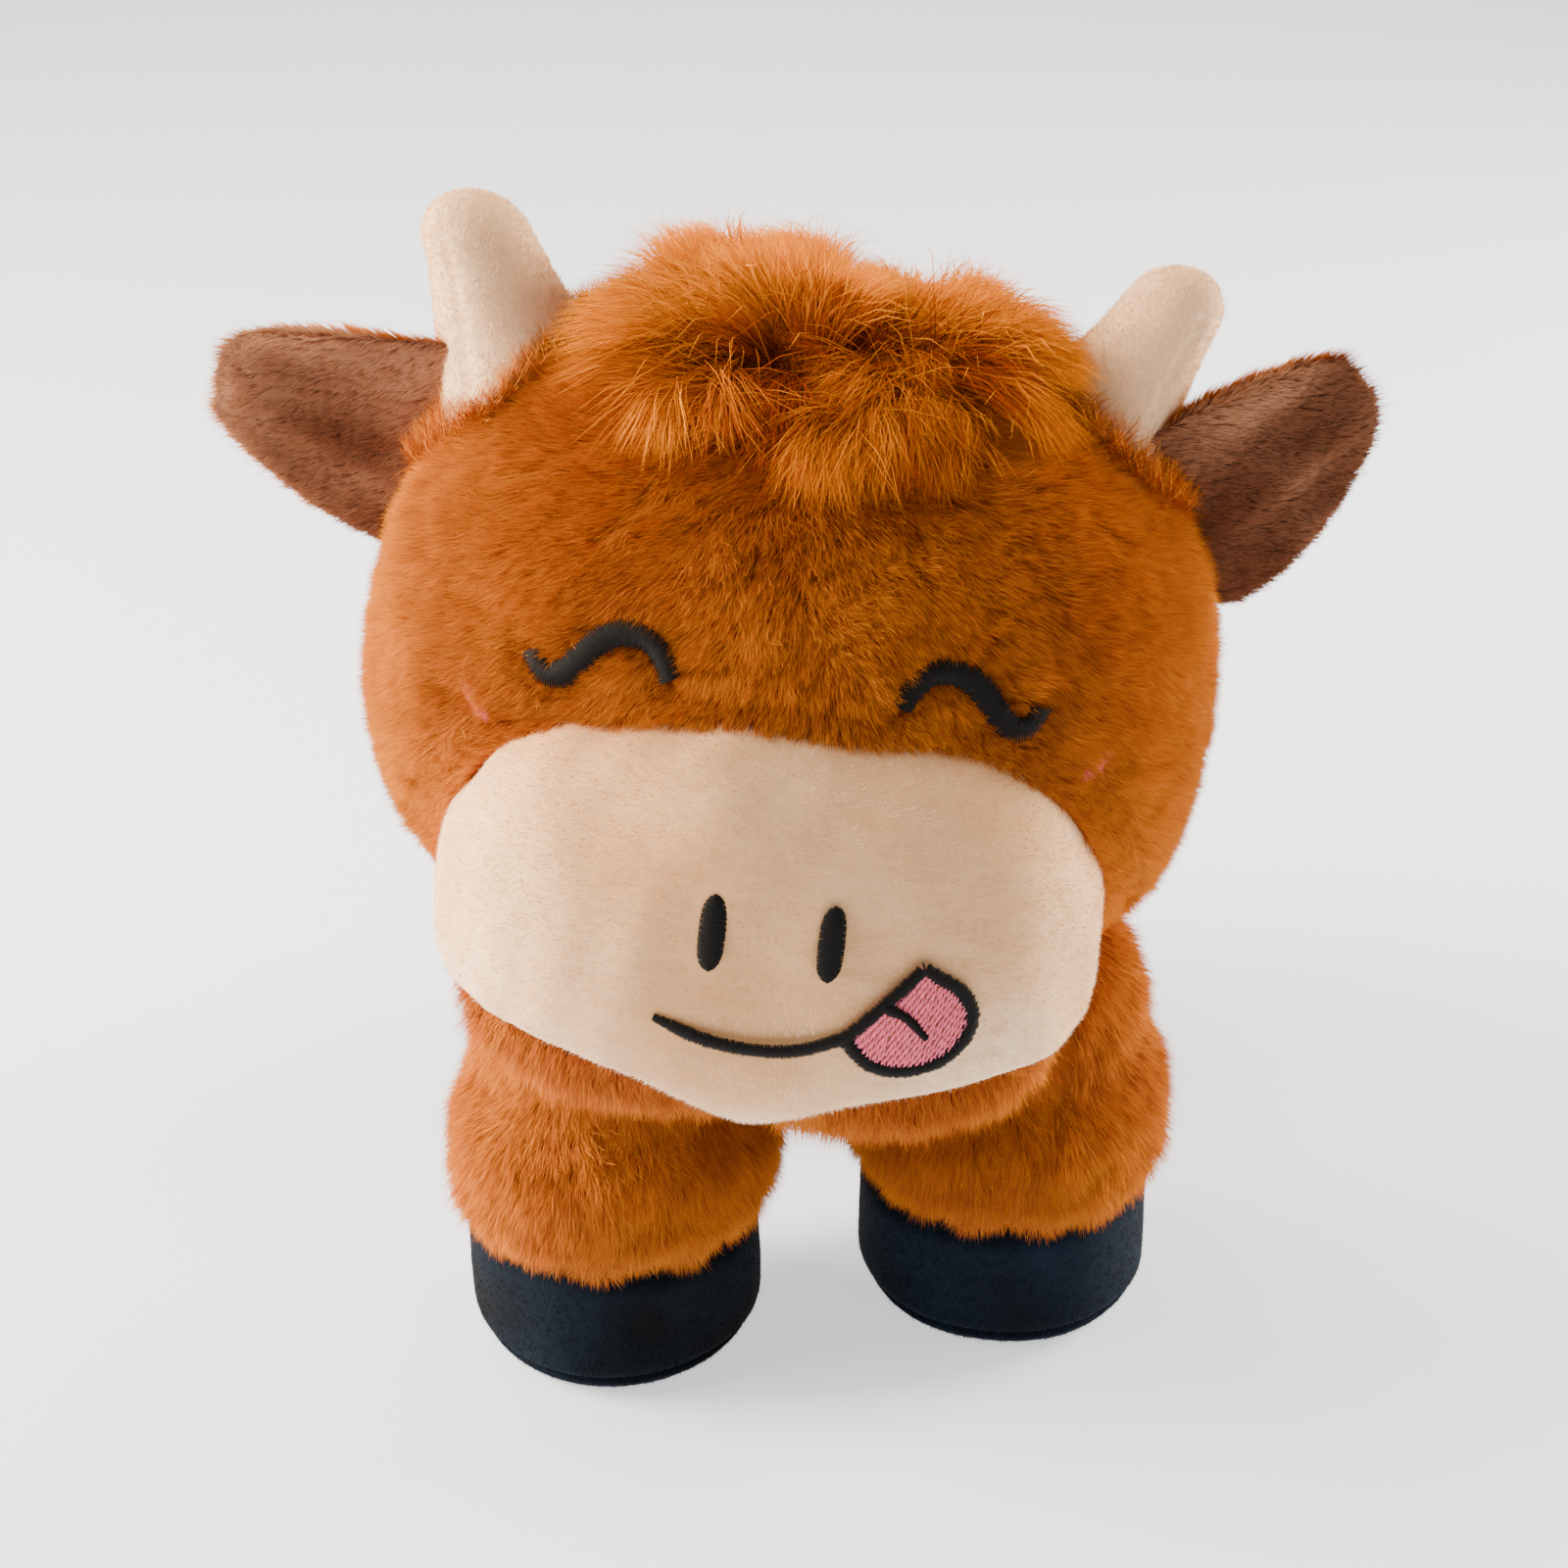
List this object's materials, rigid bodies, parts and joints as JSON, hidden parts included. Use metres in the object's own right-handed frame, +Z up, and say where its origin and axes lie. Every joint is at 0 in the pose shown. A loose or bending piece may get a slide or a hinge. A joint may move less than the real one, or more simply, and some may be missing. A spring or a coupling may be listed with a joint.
{
  "type": "plush dog toy",
  "caption": "Plush highland cow dog toy with rust fur, shaggy topknot, cream muzzle and horns, stitched smiling face, floppy ears, dark hooves and a squeaker inside.",
  "frame": {"origin": "on the floor, under the middle of the bounding box", "axes": "+Z up, the toy faces -Y, +X towards its own left side"},
  "size_m": [0.2126, 0.217, 0.2229],
  "materials": {
    "rust_fur": "short pile faux fur",
    "long_fur": "long shaggy faux fur",
    "cream_plush": "short velvety plush",
    "mocha_plush": "short plush with a nap",
    "navy_plush": "short dark plush",
    "black_thread": "satin stitch",
    "pink_thread": "filled stitch",
    "fibre_stuffing": "loose polyester fibre",
    "seam_thread": "ladder stitch",
    "squeaker_plastic": "moulded polyethylene"
  },
  "bodies": {
    "torso": {"torso_cover": "rust_fur", "torso_stuffing": "fibre_stuffing", "belly_seam": "seam_thread", "squeaker_base": "squeaker_plastic", "squeaker_reed": "squeaker_plastic", "head_cover": "rust_fur", "head_stuffing": "fibre_stuffing", "muzzle_panel": "cream_plush", "chin_panel": "rust_fur", "muzzle_stuffing": "fibre_stuffing", "eye_left": "black_thread", "eye_right": "black_thread", "nostril_left": "black_thread", "nostril_right": "black_thread", "smile": "black_thread", "tongue": "pink_thread", "tongue_outline": "black_thread", "cheek_left": "pink_thread", "cheek_right": "pink_thread", "horn_left": "cream_plush", "horn_right": "cream_plush", "topknot": "long_fur"},
    "ear_left": {"ear_left_back": "rust_fur", "ear_left_lining": "mocha_plush"},
    "ear_right": {"ear_right_back": "rust_fur", "ear_right_lining": "mocha_plush"},
    "leg_front_left": {"leg_front_left": "rust_fur", "hoof_front_left": "navy_plush", "sole_front_left": "navy_plush"},
    "leg_front_right": {"leg_front_right": "rust_fur", "hoof_front_right": "navy_plush", "sole_front_right": "navy_plush"},
    "leg_rear_left": {"leg_rear_left": "rust_fur", "hoof_rear_left": "navy_plush", "sole_rear_left": "navy_plush"},
    "leg_rear_right": {"leg_rear_right": "rust_fur", "hoof_rear_right": "navy_plush", "sole_rear_right": "navy_plush"},
    "tail": {"tail_cord": "rust_fur", "tail_tuft": "long_fur"},
    "squeaker_crown": {"squeaker_crown": "squeaker_plastic"}
  },
  "joints": [
    {"name": "ear_left_flap", "type": "hinge", "parent": "torso", "child": "ear_left", "pos_m": [0.07083, -0.02847, 0.16219], "axis": [-0.6049, -0.3617, 0.7094], "range_deg": [-20, 20], "stiffness_Nm_per_rad": 0.05},
    {"name": "ear_right_flap", "type": "hinge", "parent": "torso", "child": "ear_right", "pos_m": [-0.06826, -0.01139, 0.17267], "axis": [0.1526, -0.3479, 0.925], "range_deg": [-20, 20], "stiffness_Nm_per_rad": 0.05},
    {"name": "leg_front_left_swing", "type": "hinge", "parent": "torso", "child": "leg_front_left", "pos_m": [0.03974, -0.03562, 0.066], "axis": [1, 0, 0], "range_deg": [-10, 10], "stiffness_Nm_per_rad": 1},
    {"name": "leg_front_right_swing", "type": "hinge", "parent": "torso", "child": "leg_front_right", "pos_m": [-0.03776, -0.04262, 0.066], "axis": [1, 0, 0], "range_deg": [-10, 10], "stiffness_Nm_per_rad": 1},
    {"name": "leg_rear_left_swing", "type": "hinge", "parent": "torso", "child": "leg_rear_left", "pos_m": [0.03774, 0.05538, 0.066], "axis": [1, 0, 0], "range_deg": [-10, 10], "stiffness_Nm_per_rad": 1},
    {"name": "leg_rear_right_swing", "type": "hinge", "parent": "torso", "child": "leg_rear_right", "pos_m": [-0.03826, 0.05538, 0.066], "axis": [1, 0, 0], "range_deg": [-10, 10], "stiffness_Nm_per_rad": 1},
    {"name": "tail_swing", "type": "hinge", "parent": "torso", "child": "tail", "pos_m": [-0.00026, 0.08276, 0.104], "axis": [1, 0, 0], "range_deg": [-5, 35], "stiffness_Nm_per_rad": 0.02},
    {"name": "squeaker_press", "type": "slide", "parent": "torso", "child": "squeaker_crown", "axis": [0, 0, 1], "range_m": [-0.006, 0], "stiffness_N_per_m": 400}
  ]
}
